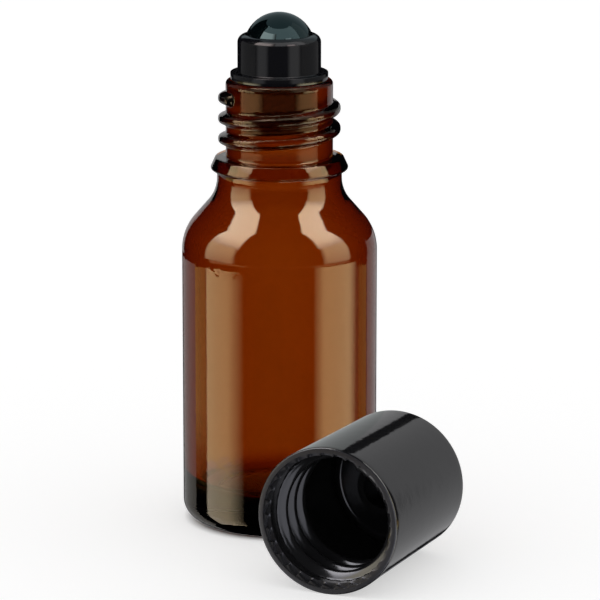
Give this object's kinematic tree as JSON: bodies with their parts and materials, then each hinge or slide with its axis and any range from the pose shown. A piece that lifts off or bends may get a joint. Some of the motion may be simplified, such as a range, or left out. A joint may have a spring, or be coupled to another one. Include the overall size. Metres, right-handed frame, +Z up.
{
  "type": "roll on bottle",
  "caption": "Small round glass bottle with a screw neck and support ring, a push-in insert that holds a rolling ball, and its screw cap taken off and laid on its side.",
  "frame": {"origin": "centre of the bottle's base, on the surface that it stands on", "axes": "+Z up the bottle's axis; the picture looks along +Y, with +X to its right"},
  "size_m": [0.0406, 0.0587, 0.0754],
  "materials": {
    "amber_glass": "clear amber glass, fire polished",
    "insert_plastic": "glossy black moulded plastic",
    "ball": "polished dark ball with a green blue cast",
    "cap_plastic": "glossy black moulded plastic, duller inside"
  },
  "bodies": {
    "bottle": {"bottle": "amber_glass"},
    "insert": {"roller_housing": "insert_plastic"},
    "ball": {"roller_ball": "ball"},
    "cap": {"cap": "cap_plastic"}
  },
  "joints": [
    {"name": "insert_pull", "type": "slide", "parent": "bottle", "child": "insert", "axis": [0, 0, 1], "range_m": [0, 0.02]},
    {"name": "ball_roll", "type": "hinge", "parent": "insert", "child": "ball", "pos_m": [0, 0, 0.07017], "axis": [1, 0, 0], "continuous": true},
    {"name": "cap_turn", "type": "hinge", "parent": "bottle", "child": "cap", "pos_m": [0.00672, -0.04019, 0.0105], "axis": [0.4067, 0.9135, -0.0115], "continuous": true}
  ]
}
